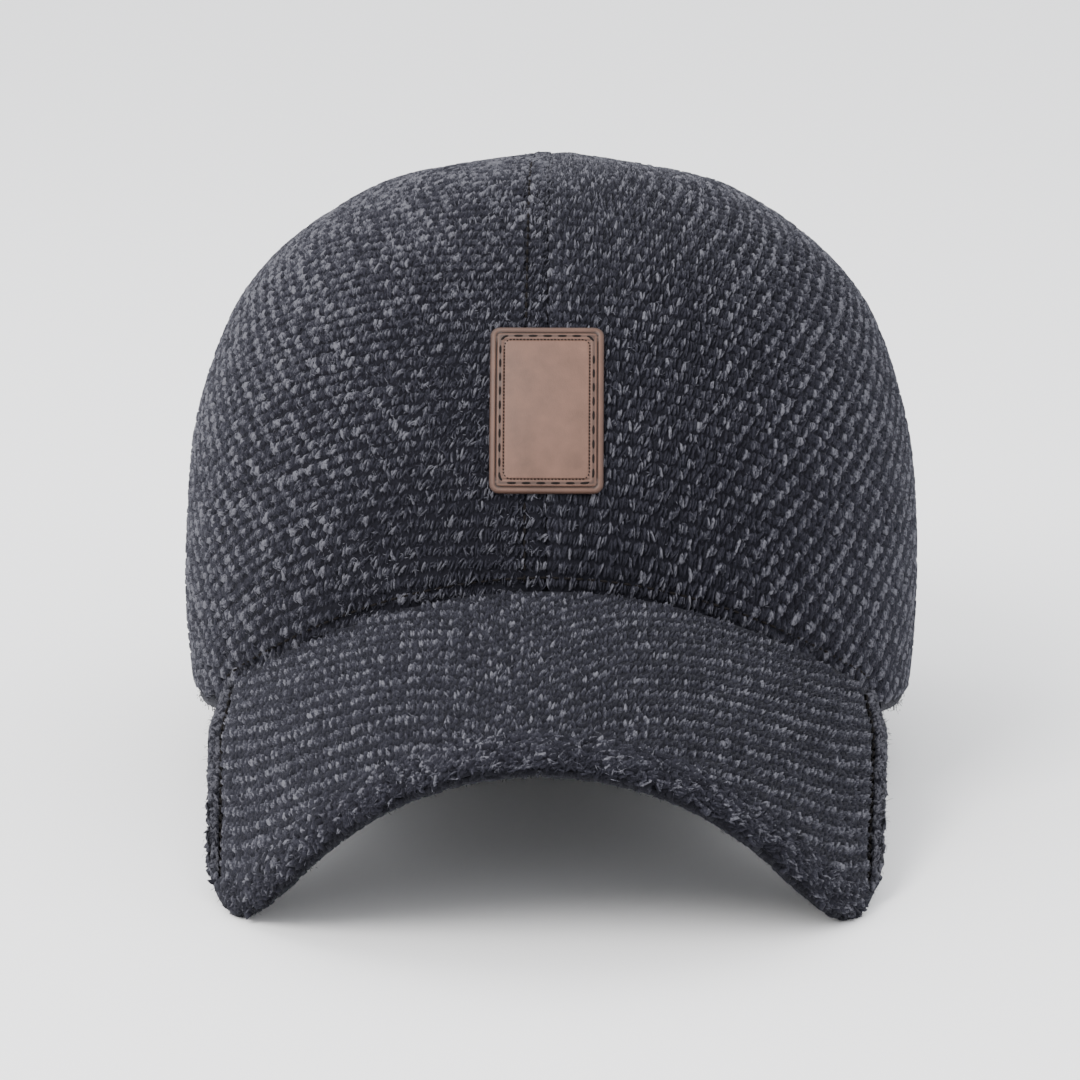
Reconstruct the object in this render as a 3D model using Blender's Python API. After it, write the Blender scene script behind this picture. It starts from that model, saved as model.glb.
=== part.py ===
"""Knitted winter cap with a curved peak, a leather patch and an ear flap folded up inside it.

Metres, +Z up. The front faces -Y and the wearer's left is +X. The cap is worked out level, with
the fold of its ear flap on z = 0. It is then leaned back until it stands on the two corners of
the peak and on the back of the fold, as it stands when it is put down on a table, and the knit
is pressed flat where it stands.
"""

import math

import bmesh
import bpy
import numpy as np

# Crown, measured over the knit: its reach ahead of and behind the side seams, and its wall
CROWN_WIDTH = 0.182
CROWN_HEIGHT = 0.1368
CROWN_FRONT = 0.103
CROWN_REAR = 0.108
CROWN_WALL = 0.003

# How square the crown is in plan: 2 is an ellipse
PLAN_POWER = 2.25

# The panels are drawn in along their seams, by this much and over this width
SEAM_DIP = 0.0011
SEAM_ROLL = 0.0045
HEM_ROLL = 0.0016

# Ear flap: one thick band folded up inside the crown. Its fold shows under the hem
FLAP_THICKNESS = 0.0032
FLAP_HEIGHT = 0.060
FOLD_SHOWS = 0.0032
FLAP_START_BEHIND_PEAK = 0.006

# Peak: its seam with the crown, then its front edge, measured on the middle of its thickness
PEAK_WIDTH = 0.1592
PEAK_REACH = 0.072
PEAK_THICKNESS = 0.0080
PEAK_ROOT_THICKNESS = 0.0064
PEAK_NOSE = 0.0085
PEAK_SIDE_BAND = 0.0075
PEAK_SEAM_END_HEIGHT = 0.006
PEAK_SEAM_RISE = 0.0287
PEAK_FALL = 0.0306
PEAK_CORNER_FALL = 0.0388
PEAK_CROWNING = 0.0012
GROOVE_DEPTH = 0.0014

# Leather patch across the seam at the front of the crown
PATCH_WIDTH = 0.0262
PATCH_HEIGHT = 0.0395
PATCH_THICKNESS = 0.0018
PATCH_CORNER = 0.0022
PATCH_EDGE = 0.0008
PATCH_CENTRE_HEIGHT = 0.0760

# Clearance between pieces that are sewn together, and how far the knit is pressed flat
GAP = 0.0003
PRESSED = 0.0009

# Sections of the crown from the hem to the top, as shares of the sizes above
# height, half width, reach ahead, reach behind
CROWN_SECTIONS = [
    (0.000, 0.974, 0.962, 0.955),
    (0.080, 0.987, 0.982, 0.975),
    (0.200, 0.998, 0.996, 0.994),
    (0.330, 1.000, 1.000, 1.000),
    (0.450, 0.985, 0.985, 0.982),
    (0.550, 0.956, 0.954, 0.945),
    (0.650, 0.910, 0.905, 0.890),
    (0.735, 0.848, 0.842, 0.823),
    (0.805, 0.766, 0.765, 0.742),
    (0.865, 0.667, 0.668, 0.645),
    (0.915, 0.545, 0.556, 0.535),
    (0.950, 0.425, 0.440, 0.420),
    (0.977, 0.240, 0.270, 0.260),
    (1.000, 0.000, 0.000, 0.000),
]

# Edge of the peak from the middle of the front round a corner to where the side edge begins
# share of the seam, half width, reach ahead of the seam's ends, fall of the corner
PEAK_EDGE = [
    (0.00, 0.000, 1.000, 0.000),
    (0.20, 0.202, 0.986, 0.052),
    (0.40, 0.414, 0.945, 0.215),
    (0.58, 0.601, 0.868, 0.485),
    (0.72, 0.742, 0.768, 0.780),
    (0.82, 0.834, 0.676, 0.955),
    (0.90, 0.896, 0.600, 1.000),
    (0.96, 0.938, 0.536, 0.905),
    (1.00, 0.955, 0.478, 0.755),
]

# Height of the folded ear flap from one of its front ends to the middle of the back
# share of the way round, height
FLAP_HEIGHTS = [
    (0.00, 0.40),
    (0.10, 0.72),
    (0.25, 0.98),
    (0.40, 1.00),
    (0.60, 0.86),
    (0.80, 0.74),
    (1.00, 0.70),
]

# Cross-section of the ear flap, from the fold's outer face round to its top and back down
# distance in from the crown's outer face: shares of the wall, of the gap and of the flap's
# thickness. height: shares of the fold, and of what stands above the fold
FLAP_SECTION = [
    (0.30, 0.0, 0.00, 0.90, 0.00),
    (0.16, 0.0, 0.00, 0.52, 0.00),
    (0.32, 0.0, 0.00, 0.16, 0.00),
    (0.72, 0.0, 0.00, 0.00, 0.00),
    (1.00, 1.0, 0.40, 0.00, 0.00),
    (1.00, 1.0, 0.84, 0.20, 0.00),
    (1.00, 1.0, 1.00, 0.62, 0.00),
    (1.00, 1.0, 1.00, 1.00, 0.33),
    (1.00, 1.0, 1.00, 1.00, 0.66),
    (1.00, 1.0, 0.97, 1.00, 0.96),
    (1.00, 1.0, 0.72, 1.00, 1.00),
    (1.00, 1.0, 0.28, 1.00, 1.00),
    (1.00, 1.0, 0.00, 1.00, 0.96),
    (1.00, 1.0, 0.00, 1.00, 0.66),
    (1.00, 1.0, 0.00, 1.00, 0.33),
    (1.00, 1.0, 0.00, 1.00, 0.00),
    (0.62, 0.0, 0.00, 1.00, 0.00),
]

# Mesh steps
PANEL_COLUMNS = 13
PANEL_ROWS = 15
FLAP_COLUMNS = 50
PATCH_CORNER_STEPS = 4

HALF_WIDTH = CROWN_WIDTH / 2
CROWN_HEM = FOLD_SHOWS + GAP
# Each panel stands half a gap off its seams, so what is sewn on to it keeps that much more
ON_CROWN = 1.5 * GAP
PEAK_HALF = PEAK_WIDTH / 2
UP = np.array([0.0, 0.0, 1.0])
SMALL = 1e-4


def smooth_curve(rows, steps=24):
    """Points of a Catmull-Rom curve through the rows of a table, with each end carried on."""
    table = np.array(rows, dtype=float)
    table = np.vstack([2 * table[0] - table[1], table, 2 * table[-1] - table[-2]])
    points = []
    for k in range(1, len(table) - 2):
        before, start, end, after = table[k - 1 : k + 3]
        for t in np.arange(steps) / steps:
            points.append(
                0.5
                * (
                    2 * start
                    + (end - before) * t
                    + (2 * before - 5 * start + 4 * end - after) * t**2
                    + (3 * start - before - 3 * end + after) * t**3
                )
            )
    points.append(table[-2])
    return np.array(points)


# The crown's sections at close steps, each with its share of the way up the wall
SECTIONS = smooth_curve(CROWN_SECTIONS) * (CROWN_HEIGHT, HALF_WIDTH, CROWN_FRONT, CROWN_REAR)
SECTIONS = np.maximum(SECTIONS, 0.0)
CLIMB = np.concatenate([[0.0], np.cumsum(np.hypot(*np.diff(SECTIONS[:, :2], axis=0).T))])
CLIMB = CLIMB / CLIMB[-1]
FRONT_CLIMB = np.concatenate(
    [[0.0], np.cumsum(np.hypot(*np.diff(SECTIONS[:, (0, 2)], axis=0).T))]
)


def climb_at(height):
    """Share of the way up the wall at which the crown has this height."""
    return float(np.interp(height, SECTIONS[:, 0], CLIMB))


def crown_point(angle, climb):
    """Point on the crown's outer face. The angle is from the front, towards the wearer's left."""
    height, side, front, rear = (np.interp(climb, CLIMB, column) for column in SECTIONS.T)
    if side < SMALL:
        return np.array([0.0, 0.0, height])
    across = math.sin(angle)
    along = math.cos(angle)
    reach = front if along > 0 else rear
    radius = (abs(across) / side) ** PLAN_POWER + (abs(along) / reach) ** PLAN_POWER
    radius = radius ** (-1 / PLAN_POWER)
    return np.array([radius * across, -radius * along, height])


def crown_normal(angle, climb):
    """Outward direction of the crown's face, which lies in a seam's plane on the seam."""
    if climb > 1 - 2 * SMALL:
        return UP
    round_it = crown_point(angle + SMALL, climb) - crown_point(angle - SMALL, climb)
    low = max(climb - 20 * SMALL, 0.0)
    high = min(climb + 20 * SMALL, 1.0)
    up_it = crown_point(angle, high) - crown_point(angle, low)
    normal = np.cross(round_it, up_it)
    if abs(math.sin(angle)) < SMALL:
        normal[0] = 0.0
    if abs(math.cos(angle)) < SMALL:
        normal[1] = 0.0
    return normal / np.linalg.norm(normal)


def off_crown(angle, height, outwards):
    """Point at this height on the crown, moved out from its outer face."""
    climb = climb_at(height)
    return crown_point(angle, climb) + crown_normal(angle, climb) * outwards


def seam_end_angle():
    """Angle at which the peak's seam reaches the peak's half width."""
    angles = np.linspace(0.0, math.pi / 2, 400)
    across = [crown_point(a, climb_at(PEAK_SEAM_END_HEIGHT))[0] for a in angles]
    return float(np.interp(PEAK_HALF, across, angles))


SEAM_END = seam_end_angle()


def arch(angle):
    """1 at the middle of the peak's seam and 0 from its ends backwards."""
    if abs(angle) >= SEAM_END:
        return 0.0
    across = crown_point(angle, climb_at(PEAK_SEAM_END_HEIGHT))[0]
    return max(0.0, 1 - (across / PEAK_HALF) ** 2)


def seam_height(angle):
    """Height of the seam between the crown and the top of the peak."""
    return PEAK_SEAM_END_HEIGHT + PEAK_SEAM_RISE * arch(angle)


def hem_height(angle):
    """Height of the crown's lower edge, which stands behind the peak's root at the front."""
    behind_root = PEAK_SEAM_END_HEIGHT + PEAK_SEAM_RISE - PEAK_ROOT_THICKNESS - CROWN_HEM
    return CROWN_HEM + behind_root * arch(angle)


class Body:
    """Vertices and faces of one closed piece."""

    def __init__(self):
        self.points = []
        self.faces = []

    def add(self, point):
        self.points.append(np.array(point, dtype=float))
        return len(self.points) - 1

    def strip(self, first, second, closed=False):
        """Faces between two rows of vertices, where two equal numbers are one vertex."""
        count = len(first)
        for k in range(count if closed else count - 1):
            n = (k + 1) % count
            ring = [first[k], first[n], second[n], second[k]]
            ring = [v for at, v in enumerate(ring) if v != ring[at - 1]]
            if len(ring) > 2:
                self.faces.append(ring)

    def sheet(self, rows, flip=False):
        for low, high in zip(rows, rows[1:]):
            if flip:
                low, high = high, low
            self.strip(low, high)


def shares_with_rolls(count, roll):
    """Even steps from 0 to 1, with two more at each end over the width of a seam's roll."""
    inner = np.linspace(roll, 1 - roll, count)
    return [0.0, roll / 3, *inner, 1 - roll / 3, 1.0]


def crown_panel(name, start, end, colour):
    """One of the four panels of the crown, drawn in along its two seams and its hem."""
    body = Body()
    roll = SEAM_ROLL / (HALF_WIDTH * abs(end - start))
    shares = shares_with_rolls(PANEL_COLUMNS, roll)
    drawn_in = {0.0: 1.0, shares[1]: 0.35, shares[-2]: 0.35, 1.0: 1.0}
    middle = (start + end) / 2
    aside = np.array([math.copysign(GAP / 2, math.sin(middle)), 0.0, 0.0])
    aside[1] = -math.copysign(GAP / 2, math.cos(middle))
    outer = []
    inner = []
    for row in range(PANEL_ROWS + 1):
        outer.append([])
        inner.append([])
        for share in shares:
            angle = start + (end - start) * share
            hem = climb_at(hem_height(angle))
            hem_roll = climb_at(hem_height(angle) + HEM_ROLL)
            climbs = [hem, *np.linspace(hem_roll, 1.0, PANEL_ROWS)]
            climb = climbs[row]
            point = crown_point(angle, climb)
            normal = crown_normal(angle, climb)
            dip = SEAM_DIP * drawn_in.get(share, 0.0)
            if row == 0:
                dip = max(dip, HEM_ROLL / 2)
            outer[row].append(point - normal * dip + aside)
            inner[row].append(point - normal * CROWN_WALL + aside)
    top = body.add(outer[-1][0])
    under_top = body.add(inner[-1][0])
    outer = [[body.add(p) for p in row] for row in outer[:-1]] + [[top] * len(shares)]
    inner = [[body.add(p) for p in row] for row in inner[:-1]] + [[under_top] * len(shares)]
    body.sheet(outer)
    body.sheet(inner, flip=True)
    body.strip(inner[0], outer[0])
    body.strip([row[0] for row in outer], [row[0] for row in inner])
    body.strip([row[-1] for row in inner], [row[-1] for row in outer])
    return name, body, colour


def ear_flap(colour):
    """The band folded up inside the crown, from one end of the peak round the back."""
    body = Body()
    start = SEAM_END + FLAP_START_BEHIND_PEAK / HALF_WIDTH
    heights = smooth_curve(FLAP_HEIGHTS)
    rings = []
    for share in np.linspace(-1.0, 1.0, FLAP_COLUMNS + 1):
        angle = math.pi + share * (math.pi - start)
        tall = FLAP_HEIGHT * np.interp(1 - abs(share), *heights.T) - FOLD_SHOWS
        ring = []
        for wall, gap, flap, fold, above in FLAP_SECTION:
            inwards = wall * CROWN_WALL + gap * GAP + flap * FLAP_THICKNESS
            ring.append(body.add(off_crown(angle, fold * FOLD_SHOWS + above * tall, -inwards)))
        rings.append(ring)
    for ring, following in zip(rings, rings[1:]):
        body.strip(following, ring, closed=True)
    # The ends are closed crosswise, from the fold's face and the band's two faces
    for ring, turned in ((rings[0], False), (rings[-1], True)):
        faces = [
            [ring[1], ring[2], ring[3]],
            [ring[0], ring[1], ring[3], ring[16]],
            [ring[16], ring[3], ring[4], ring[15]],
            [ring[15], ring[4], ring[5], ring[6]],
            [ring[15], ring[6], ring[7], ring[14]],
            [ring[14], ring[7], ring[8], ring[13]],
            [ring[13], ring[8], ring[9], ring[12]],
            [ring[12], ring[9], ring[10], ring[11]],
        ]
        body.faces += [face[::-1] for face in faces] if turned else faces
    return "ear_flap", body, colour


PEAK_EDGE_CURVE = smooth_curve(PEAK_EDGE)
NORMALS_WITHIN = 0.92
# Share of the way out over which the peak's thickness turns from the crown's face to its own
ROOT_BLEND = 0.25


def peak_root(share):
    """Middle of the peak's root where it is sewn on, and half its thickness along the crown."""
    angle = share * SEAM_END
    top = off_crown(angle, seam_height(angle), ON_CROWN)
    bottom = off_crown(angle, seam_height(angle) - PEAK_ROOT_THICKNESS, ON_CROWN)
    return (top + bottom) / 2, (top - bottom) / 2


ROOT_MIDDLE = peak_root(0.0)[0]
ROOT_END = peak_root(1.0)[0]


def peak_edge(share):
    """Point on the peak's edge, on the middle of its thickness."""
    stations = PEAK_EDGE_CURVE[:, 0]
    half, ahead, fall = (
        np.interp(abs(share), stations, column) for column in PEAK_EDGE_CURVE[:, 1:].T
    )
    front = ROOT_MIDDLE[1] - PEAK_REACH
    height = ROOT_MIDDLE[2] - PEAK_FALL
    return np.array(
        [
            math.copysign(PEAK_HALF * half, share),
            ROOT_END[1] + (front - ROOT_END[1]) * ahead,
            height - PEAK_CORNER_FALL * fall,
        ]
    )


def peak_middle(share, out):
    """Point on the middle of the peak's thickness: share is across it, out is from the root."""
    root = peak_root(share)[0]
    crowning = PEAK_CROWNING * math.sin(math.pi * out)
    return root + (peak_edge(share) - root) * out + UP * crowning


def peak_normal(share, out):
    """Upward direction of the peak's top, read a little inside the corners, where its lines meet."""
    share = min(max(share, -NORMALS_WITHIN), NORMALS_WITHIN)
    out = min(out, NORMALS_WITHIN)
    step = 0.004
    left, right = max(share - step, -1.0), min(share + step, 1.0)
    near, far = max(out - step, 0.0), min(out + step, 1.0)
    across = peak_middle(right, out) - peak_middle(left, out)
    outwards = peak_middle(share, far) - peak_middle(share, near)
    normal = np.cross(outwards, across)
    return normal / np.linalg.norm(normal)


def peak_point(share, out, offset):
    """Point off the middle of the peak by a share of half its thickness. At the root that runs
    along the crown."""
    half_root = peak_root(share)[1]
    half = peak_normal(share, out) * PEAK_THICKNESS / 2
    blend = min(out / ROOT_BLEND, 1.0)
    blend = blend * blend * (3 - 2 * blend)
    return peak_middle(share, out) + (half_root * (1 - blend) + half * blend) * offset


# Half the peak's seam and half its edge up to the corner, as shares of half its width, give the
# strip outside each side groove as a share of the lines across the peak
HALF_SEAM = 1.25
HALF_EDGE = 1.15
BAND_AT_ROOT = PEAK_SIDE_BAND / (PEAK_HALF * HALF_SEAM)
BAND_AT_CORNER = PEAK_SIDE_BAND / (PEAK_HALF * HALF_EDGE)

# Lines of the peak's mesh between its grooves, and from the root to where the front edge rounds
PEAK_ACROSS = [0.0, 0.1, 0.2, 0.3, 0.4, 0.5, 0.6, 0.69, 0.77, 0.84, 0.90, 0.95, 0.98, 1.0]
PEAK_ACROSS = [-share for share in PEAK_ACROSS[:0:-1]] + PEAK_ACROSS
PEAK_OUTWARDS = [0.0, 0.14, 0.30, 0.46, 0.62, 0.76, 0.89, 1.0]
GROOVE_EDGE = 1 - 2 * GROOVE_DEPTH / PEAK_THICKNESS
GROOVE_ROLL = 0.10
MIDDLE_GAP = GAP / PEAK_THICKNESS
EDGE_LIP = 3 * MIDDLE_GAP


def drawn_down(share):
    """Height of the top panel, as a share of half the thickness, drawn down towards its groove."""
    way = max((abs(share) - (1 - GROOVE_ROLL)) / GROOVE_ROLL, 0.0)
    return 1 - (1 - GROOVE_EDGE) * way * way


def band_share(out):
    """Width of the strip along the side edge, as a share of the seam's half."""
    return BAND_AT_ROOT + (BAND_AT_CORNER - BAND_AT_ROOT) * out


def side_lines():
    """Shares of the side strip's width from its groove to the edge, and its height there."""
    rounding = PEAK_THICKNESS / 2 / PEAK_SIDE_BAND
    start = 2 * GAP / PEAK_SIDE_BAND
    flat = 1 - rounding - start
    lines = [(start, GROOVE_EDGE), (start + flat * 0.45, 0.96), (start + flat, 1.0)]
    lines += [(1 - rounding * (1 - math.sin(a)), math.cos(a)) for a in (math.pi / 6, math.pi / 3)]
    return lines + [(1.0, 0.0)]


def out_lines():
    """Shares of the way from the root to the front edge, and the height of the rounding there."""
    nose = PEAK_NOSE / PEAK_REACH
    lines = [(share * (1 - nose), 1.0) for share in PEAK_OUTWARDS]
    turns = (math.pi * share for share in (0.11, 0.22, 0.33, 0.43))
    lines += [(1 - nose * (1 - math.sin(turn)), math.cos(turn)) for turn in turns]
    return lines + [(1.0, EDGE_LIP)]


def peak_under(colour):
    """The underside, which comes up round the side edges as far as the grooves in the top."""
    body = Body()
    sides = side_lines()
    across = [(-1.0, way, high) for way, high in sides[::-1]]
    across += [(share, 0.0, 1.0) for share in PEAK_ACROSS]
    across += [(1.0, way, high) for way, high in sides]
    top = []
    bottom = []
    for out, nose in out_lines():
        width = band_share(out)
        upper = []
        lower = []
        for side, way, level in across:
            share = side * (1 - width) + math.copysign(way * width, side)
            height = min(nose, level) if way > 0 else -MIDDLE_GAP
            depth = min(nose, level) if way > 0.5 else nose
            here = body.add(peak_point(share, out, height))
            upper.append(here)
            lower.append(here if level == 0 else body.add(peak_point(share, out, -depth)))
        top.append(upper)
        bottom.append(lower)
    body.sheet(top)
    body.sheet(bottom, flip=True)
    body.strip(bottom[0], top[0])
    body.strip(top[-1], bottom[-1])
    return "peak_under", body, colour


def peak_top(colour):
    """The top panel of the peak, rolled over the front edge and drawn down into the side grooves."""
    body = Body()
    top = []
    bottom = []
    for out, nose in out_lines():
        inside = 1 - band_share(out)
        upper = []
        lower = []
        for side in PEAK_ACROSS:
            height = max(min(nose, drawn_down(side)), EDGE_LIP)
            upper.append(body.add(peak_point(side * inside, out, height)))
            lower.append(body.add(peak_point(side * inside, out, MIDDLE_GAP)))
        top.append(upper)
        bottom.append(lower)
    body.sheet(top)
    body.sheet(bottom, flip=True)
    body.strip(bottom[0], top[0])
    body.strip(top[-1], bottom[-1])
    body.strip([row[0] for row in top], [row[0] for row in bottom])
    body.strip([row[-1] for row in bottom], [row[-1] for row in top])
    return "peak_top", body, colour


def label_patch(colour):
    """The leather patch, bent to the crown, with rounded corners and an eased edge."""
    body = Body()
    outline = []
    half_w = PATCH_WIDTH / 2 - PATCH_CORNER
    half_h = PATCH_HEIGHT / 2 - PATCH_CORNER
    for turn, (side, end) in enumerate(((1, 1), (-1, 1), (-1, -1), (1, -1))):
        for k in range(PATCH_CORNER_STEPS + 1):
            angle = (turn + k / PATCH_CORNER_STEPS) * math.pi / 2
            x = side * half_w + PATCH_CORNER * math.cos(angle)
            z = end * half_h + PATCH_CORNER * math.sin(angle)
            outline.append((x, z))
        following = ((-1, 1), (-1, -1), (1, -1), (1, 1))[turn]
        for k in (1, 2, 3):
            x = outline[-1][0] if side == following[0] else half_w * side * (1 - k / 2)
            z = outline[-1][1] if end == following[1] else half_h * end * (1 - k / 2)
            outline.append((x, z))
    middle_climb = np.interp(PATCH_CENTRE_HEIGHT, SECTIONS[:, 0], FRONT_CLIMB)

    def ring(share, outwards):
        loop = []
        for x, z in outline:
            climb = float(np.interp(middle_climb + z * share, FRONT_CLIMB, CLIMB))
            reach = -crown_point(0.0, climb)[1]
            angle = x * share / reach
            point = crown_point(angle, climb)
            loop.append(body.add(point + crown_normal(angle, climb) * outwards))
        return loop

    inside = [0.3, 0.62]
    edge = 1 - 2 * PATCH_EDGE / PATCH_WIDTH
    top = ON_CROWN + PATCH_THICKNESS
    rings = [ring(share, ON_CROWN) for share in (*inside, 1.0)]
    rings += [ring(1.0, top - PATCH_EDGE), ring(edge, top)]
    rings += [ring(share, top) for share in inside[::-1]]
    for first, second in zip(rings, rings[1:]):
        body.strip(first, second, closed=True)
    for loop, outwards, turned in ((rings[0], ON_CROWN, True), (rings[-1], top, False)):
        centre = body.add(off_crown(0.0, PATCH_CENTRE_HEIGHT, outwards))
        for k, vertex in enumerate(loop):
            face = [centre, vertex, loop[(k + 1) % len(loop)]]
            body.faces.append(face[::-1] if turned else face)
    return "label_patch", body, colour


def leaned(points, lean):
    """Points turned about the X axis, so that the front rises."""
    turn = np.array(
        [
            [1.0, 0.0, 0.0],
            [0.0, math.cos(lean), math.sin(lean)],
            [0.0, -math.sin(lean), math.cos(lean)],
        ]
    )
    return points @ turn.T


def stand(bodies):
    """Leans the cap back on to its peak and its fold, presses it flat there and centres it."""
    front = np.array([p for name, body, colour in bodies for p in body.points if p[1] < 0])
    back = np.array([p for name, body, colour in bodies for p in body.points if p[1] >= 0])
    low, high = 0.0, math.radians(40)
    for _ in range(50):
        lean = (low + high) / 2
        if leaned(front, lean)[:, 2].min() < leaned(back, lean)[:, 2].min():
            low = lean
        else:
            high = lean
    floor = leaned(back, lean)[:, 2].min() + PRESSED
    moved = [leaned(np.array(body.points), lean) - UP * floor for name, body, colour in bodies]
    for points in moved:
        points[:, 2] = np.maximum(points[:, 2], 0.0)
    whole = np.vstack(moved)
    middle = (whole.min(axis=0) + whole.max(axis=0)) / 2
    for points, (name, body, colour) in zip(moved, bodies):
        body.points = points - (0.0, middle[1], 0.0)


def material(name, colour, roughness):
    made = bpy.data.materials.new(name)
    made.use_nodes = True
    shader = made.node_tree.nodes["Principled BSDF"]
    shader.inputs["Base Color"].default_value = (*colour, 1.0)
    shader.inputs["Roughness"].default_value = roughness
    shader.inputs["Metallic"].default_value = 0.0
    made.diffuse_color = (*colour, 1.0)
    return made


def piece(name, body, colour, parent):
    """An object of the body's mesh, smooth where the piece is round."""
    mesh = bpy.data.meshes.new(name)
    mesh.from_pydata([tuple(p) for p in body.points], [], body.faces)
    work = bmesh.new()
    work.from_mesh(mesh)
    bmesh.ops.triangulate(work, faces=work.faces[:])
    bmesh.ops.recalc_face_normals(work, faces=work.faces[:])
    work.to_mesh(mesh)
    work.free()
    mesh.shade_smooth()
    mesh.set_sharp_from_angle(angle=math.radians(50))
    made = bpy.data.objects.new(name, mesh)
    made.data.materials.append(material(name, *colour))
    made.parent = parent
    bpy.context.scene.collection.objects.link(made)
    return made


KNIT = ((0.075, 0.090, 0.115), 0.95)
KNIT_DARK = ((0.060, 0.072, 0.095), 0.95)
FLEECE = ((0.030, 0.034, 0.045), 1.0)
LEATHER = ((0.300, 0.180, 0.130), 0.55)


def build():
    for old in list(bpy.data.objects):
        bpy.data.objects.remove(old, do_unlink=True)
    quarter = math.pi / 2
    bodies = [
        crown_panel("crown_front_left", 0.0, quarter, KNIT),
        crown_panel("crown_rear_left", quarter, 2 * quarter, KNIT),
        crown_panel("crown_rear_right", -2 * quarter, -quarter, KNIT),
        crown_panel("crown_front_right", -quarter, 0.0, KNIT),
        ear_flap(FLEECE),
        peak_top(KNIT),
        peak_under(KNIT_DARK),
        label_patch(LEATHER),
    ]
    stand(bodies)
    cap = bpy.data.objects.new("cap", None)
    bpy.context.scene.collection.objects.link(cap)
    for name, body, colour in bodies:
        piece(name, body, colour, cap)


build()
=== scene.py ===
"""Knitted winter cap with a peak, a leather patch and an ear flap folded up inside."""

import math

import bpy
import numpy as np
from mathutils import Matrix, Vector


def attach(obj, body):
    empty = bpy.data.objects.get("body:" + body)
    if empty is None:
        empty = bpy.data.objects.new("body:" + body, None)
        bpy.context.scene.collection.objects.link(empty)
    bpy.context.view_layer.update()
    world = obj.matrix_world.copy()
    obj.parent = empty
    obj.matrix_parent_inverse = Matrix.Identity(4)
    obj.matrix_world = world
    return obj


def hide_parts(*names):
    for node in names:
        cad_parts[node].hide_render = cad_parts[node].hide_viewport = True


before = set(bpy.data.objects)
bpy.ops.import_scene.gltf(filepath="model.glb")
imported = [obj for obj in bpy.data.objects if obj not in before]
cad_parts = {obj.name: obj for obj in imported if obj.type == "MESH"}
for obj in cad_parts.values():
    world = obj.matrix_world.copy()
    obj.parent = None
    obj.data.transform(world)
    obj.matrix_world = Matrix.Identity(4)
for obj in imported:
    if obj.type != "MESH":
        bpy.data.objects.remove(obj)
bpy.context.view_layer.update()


# Table, studio light and camera. The table is a matt pale top. The light is soft: even daylight,
# a big lamp from the upper left, and weak ones from the right, behind each shoulder and above.
TABLE_SIZE = 9.0
TABLE_COLOUR = (0.93, 0.93, 0.935, 1.0)
DAYLIGHT = (0.97, 0.98, 1.0, 1.0)
DAYLIGHT_STRENGTH = 2.00
CAMERA_RISE = math.radians(13.5)
CAMERA_TURN = math.radians(-0.88)
CAMERA_DISTANCE = 1.2
CAMERA_LENS = 163.5
CAMERA_AIM = Vector((0.0, 0.0, 0.075))
CAMERA_ASIDE = (0.00242, 0.01152)
LAMPS_AIM = (0.0, 0.0, 0.07)
# place, width, length, power, colour
LAMPS = {
    "lamp_upper_left": ((-0.72, -1.00, 1.15), 0.7, 0.7, 30.0, (1.0, 0.98, 0.96)),
    "lamp_right": ((1.0, -0.8, 0.55), 0.7, 0.7, 3.0, (0.97, 0.96, 1.0)),
    "lamp_left_shoulder": ((-0.85, 0.55, 0.40), 0.3, 0.7, 2.0, (0.98, 0.98, 1.0)),
    "lamp_right_shoulder": ((0.85, 0.55, 0.45), 0.3, 0.7, 1.0, (0.98, 0.98, 1.0)),
    "lamp_top": ((-0.45, 0.10, 1.1), 0.6, 0.6, 2.5, (1.0, 1.0, 1.0)),
}


def link(name, data):
    made = bpy.data.objects.new(name, data)
    bpy.context.scene.collection.objects.link(made)
    return made


def looks_at(thing, target):
    thing.rotation_mode = "QUATERNION"
    thing.rotation_quaternion = (Vector(target) - thing.location).to_track_quat("-Z", "Y")


def node(tree, kind, **values):
    """A shader node with its settings, and its sockets given values or linked by name."""
    made = tree.nodes.new(kind)
    for key, value in values.items():
        if key not in made.inputs:
            setattr(made, key, value)
        elif isinstance(value, bpy.types.NodeSocket):
            tree.links.new(value, made.inputs[key])
        else:
            made.inputs[key].default_value = value
    return made


def painted(name, values):
    """A material and its main shader, with its sockets set by name."""
    made = bpy.data.materials.new(name)
    made.use_nodes = True
    surface = made.node_tree.nodes["Principled BSDF"]
    for key, value in values.items():
        surface.inputs[key].default_value = value
    return made, surface


half = TABLE_SIZE / 2
table_mesh = bpy.data.meshes.new("table_top")
corners = [(-half, -half, 0.0), (half, -half, 0.0), (half, half, 0.0), (-half, half, 0.0)]
table_mesh.from_pydata(corners, [], [(0, 1, 2, 3)])
table_top = link("table_top", table_mesh)
matt = {"Base Color": TABLE_COLOUR, "Roughness": 0.75, "Specular IOR Level": 0.15}
table_mesh.materials.append(painted("table_paint", matt)[0])

daylight = bpy.data.worlds.new("daylight")
daylight.use_nodes = True
sky = daylight.node_tree.nodes["Background"].inputs
sky["Color"].default_value = DAYLIGHT
sky["Strength"].default_value = DAYLIGHT_STRENGTH
bpy.context.scene.world = daylight

for name, (place, width, length, power, colour) in LAMPS.items():
    lamp_data = bpy.data.lights.new(name, "AREA")
    lamp_data.shape = "RECTANGLE"
    lamp_data.size, lamp_data.size_y = width, length
    lamp_data.energy = power
    lamp_data.color = colour
    lamp = link(name, lamp_data)
    lamp.location = place
    looks_at(lamp, LAMPS_AIM)

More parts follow.
